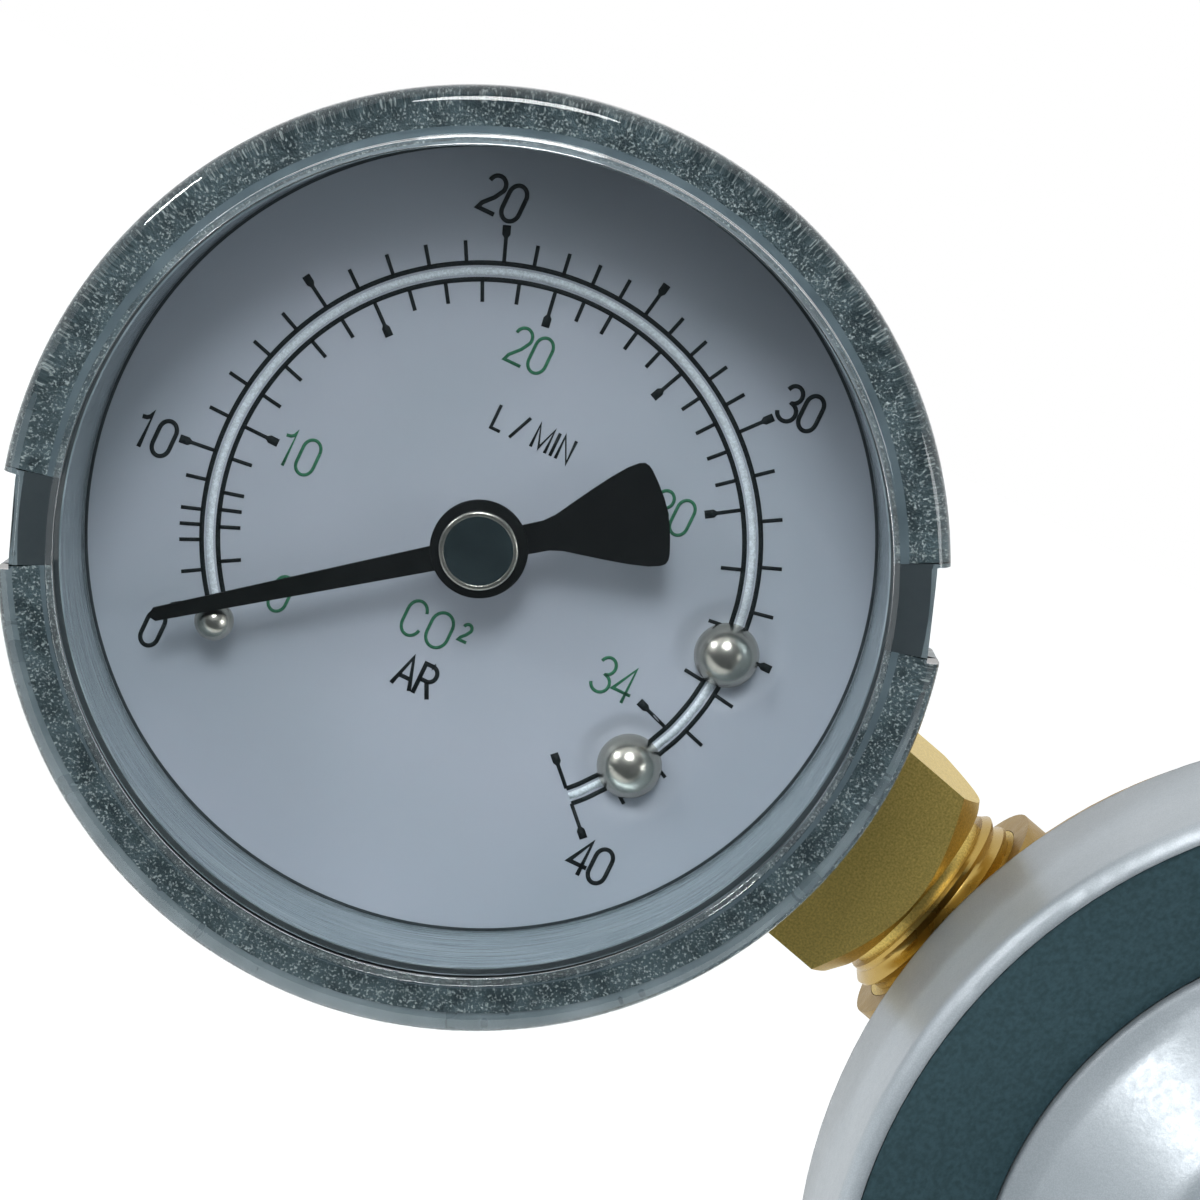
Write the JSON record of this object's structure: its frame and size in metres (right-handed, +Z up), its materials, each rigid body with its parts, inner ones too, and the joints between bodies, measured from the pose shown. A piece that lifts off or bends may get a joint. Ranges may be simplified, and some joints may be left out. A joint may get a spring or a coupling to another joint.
{
  "type": "carbon dioxide regulator",
  "caption": "Gas pressure regulator with silver bonnet, T-bar screw, rear inlet nut, bottom hose outlet, a flow gauge on the left and a contents gauge on the right.",
  "frame": {"origin": "centre of the inlet seat, where the gasket meets the cylinder valve, on the axis of the inlet nut", "axes": "+Y back along the inlet axis towards the cylinder, -Y towards the user, +X to the user's right, +Z up with the outlet pointing down"},
  "size_m": [0.1946, 0.1531, 0.1312],
  "materials": {
    "brass_forged": "forged and bead blasted",
    "brass_turned": "turned",
    "socket_brass": "dull drawn bar, machined end",
    "silver_paint": "satin metallic paint",
    "dark_ring": "matt",
    "rubber": "matt",
    "spring_steel": "plain",
    "steel": "turned",
    "plated_steel": "plated",
    "nickel": "polished",
    "nylon": "satin",
    "sintered_bronze": "porous",
    "bronze_tube": "drawn",
    "black_case": "semi gloss",
    "clear_lens": "clear moulding",
    "satin_ring": "satin grey",
    "dial_white": "satin white",
    "pointer_black": "satin black"
  },
  "bodies": {
    "regulator": {"body": "brass_forged", "bonnet": "silver_paint", "bonnet_ring": "dark_ring", "slip_ring": "brass_turned", "diaphragm": "rubber", "main_spring": "spring_steel", "valve_nozzle": "brass_turned", "poppet_spring": "spring_steel", "inlet_stem": "brass_turned", "inlet_gasket": "nylon", "inlet_filter": "sintered_bronze", "outlet_adapter": "brass_turned", "outlet_orifice": "brass_turned", "hose_barb": "brass_turned", "relief_body": "brass_turned", "relief_spring": "spring_steel", "relief_cap": "brass_turned", "flow_case": "black_case", "flow_lens": "clear_lens", "flow_spacer": "satin_ring", "flow_dial": "dial_white", "flow_dial_rivets": "nickel", "flow_stop_pin": "nickel", "flow_socket": "socket_brass", "flow_bourdon_tube": "bronze_tube", "flow_tube_tip": "brass_turned", "flow_front_plate": "brass_turned", "flow_back_plate": "brass_turned", "flow_hairspring": "bronze_tube", "contents_case": "black_case", "contents_lens": "clear_lens", "contents_spacer": "satin_ring", "contents_dial": "dial_white", "contents_dial_rivets": "nickel", "contents_stop_pin": "nickel", "contents_socket": "socket_brass", "contents_bourdon_tube": "bronze_tube", "contents_tube_tip": "brass_turned", "contents_front_plate": "brass_turned", "contents_back_plate": "brass_turned", "contents_hairspring": "bronze_tube"},
    "spring_seat": {"spring_button": "steel"},
    "adjuster": {"adjusting_screw": "plated_steel", "tee_bar": "plated_steel"},
    "valve_plate": {"diaphragm_plate": "brass_turned"},
    "valve_pin": {"valve_poppet": "brass_turned", "valve_seat": "nylon"},
    "inlet_swivel": {"inlet_nut": "brass_turned"},
    "outlet_swivel": {"outlet_nut": "brass_turned"},
    "relief_plug": {"relief_poppet": "brass_turned"},
    "flow_fan": {"flow_sector": "brass_turned"},
    "flow_hand": {"flow_pinion": "steel", "flow_pointer": "pointer_black", "flow_pointer_boss": "nickel"},
    "flow_rod": {"flow_link": "steel"},
    "contents_fan": {"contents_sector": "brass_turned"},
    "contents_hand": {"contents_pinion": "steel", "contents_pointer": "pointer_black", "contents_pointer_boss": "nickel"},
    "contents_rod": {"contents_link": "steel"}
  },
  "joints": [
    {"name": "adjuster_travel", "type": "slide", "parent": "regulator", "child": "spring_seat", "axis": [0, 1, 0], "range_m": [0, 0.006], "deforming": ["main_spring"]},
    {"name": "adjuster_turn", "type": "hinge", "parent": "spring_seat", "child": "adjuster", "pos_m": [0, -0.096, 0], "axis": [0, 1, 0], "range_deg": [0, 1080]},
    {"name": "valve_lift", "type": "slide", "parent": "regulator", "child": "valve_plate", "axis": [0, 1, 0], "range_m": [0, 0.001], "stiffness_N_per_m": 1500, "deforming": ["diaphragm"]},
    {"name": "poppet_lift", "type": "slide", "parent": "regulator", "child": "valve_pin", "axis": [0, 1, 0], "range_m": [0, 0.001], "deforming": ["poppet_spring"]},
    {"name": "inlet_nut_turn", "type": "hinge", "parent": "regulator", "child": "inlet_swivel", "pos_m": [0, 0, 0], "axis": [0, 1, 0], "continuous": true},
    {"name": "outlet_nut_turn", "type": "hinge", "parent": "regulator", "child": "outlet_swivel", "pos_m": [0, -0.0543, -0.057], "axis": [0, 0, -1], "continuous": true},
    {"name": "relief_lift", "type": "slide", "parent": "regulator", "child": "relief_plug", "axis": [0.7071, 0, -0.7071], "range_m": [0, 0.0015], "stiffness_N_per_m": 1500, "deforming": ["relief_spring"]},
    {"name": "flow_sector_turn", "type": "hinge", "parent": "regulator", "child": "flow_fan", "pos_m": [-0.06118, -0.059, 0.0255], "axis": [0, -1, 0], "range_deg": [0, 26.27], "stiffness_Nm_per_rad": 0.01},
    {"name": "flow_pointer_turn", "type": "hinge", "parent": "regulator", "child": "flow_hand", "pos_m": [-0.06984, -0.059, 0.01871], "axis": [0, 1, 0], "range_deg": [0, 262.7]},
    {"name": "flow_link_turn", "type": "hinge", "parent": "flow_fan", "child": "flow_rod", "pos_m": [-0.05902, -0.059, 0.02957], "axis": [0, 1, 0], "range_deg": [0, 26.27]},
    {"name": "contents_sector_turn", "type": "hinge", "parent": "regulator", "child": "contents_fan", "pos_m": [0.06574, -0.059, 0.0085], "axis": [0, -1, 0], "range_deg": [0, 27], "stiffness_Nm_per_rad": 0.01},
    {"name": "contents_pointer_turn", "type": "hinge", "parent": "regulator", "child": "contents_hand", "pos_m": [0.06984, -0.059, 0.01871], "axis": [0, 1, 0], "range_deg": [0, 270]},
    {"name": "contents_link_turn", "type": "hinge", "parent": "contents_fan", "child": "contents_rod", "pos_m": [0.0659, -0.059, 0.00391], "axis": [0, 1, 0], "range_deg": [0, 27]}
  ],
  "couplings": [
    {"joint": "adjuster_turn", "follows": "adjuster_travel", "rad_per_m": 3141.6},
    {"joint": "poppet_lift", "follows": "valve_lift", "ratio": 1},
    {"joint": "flow_pointer_turn", "follows": "flow_sector_turn", "ratio": 10},
    {"joint": "flow_link_turn", "follows": "flow_sector_turn", "ratio": 1},
    {"joint": "contents_pointer_turn", "follows": "contents_sector_turn", "ratio": 10},
    {"joint": "contents_link_turn", "follows": "contents_sector_turn", "ratio": 1}
  ]
}
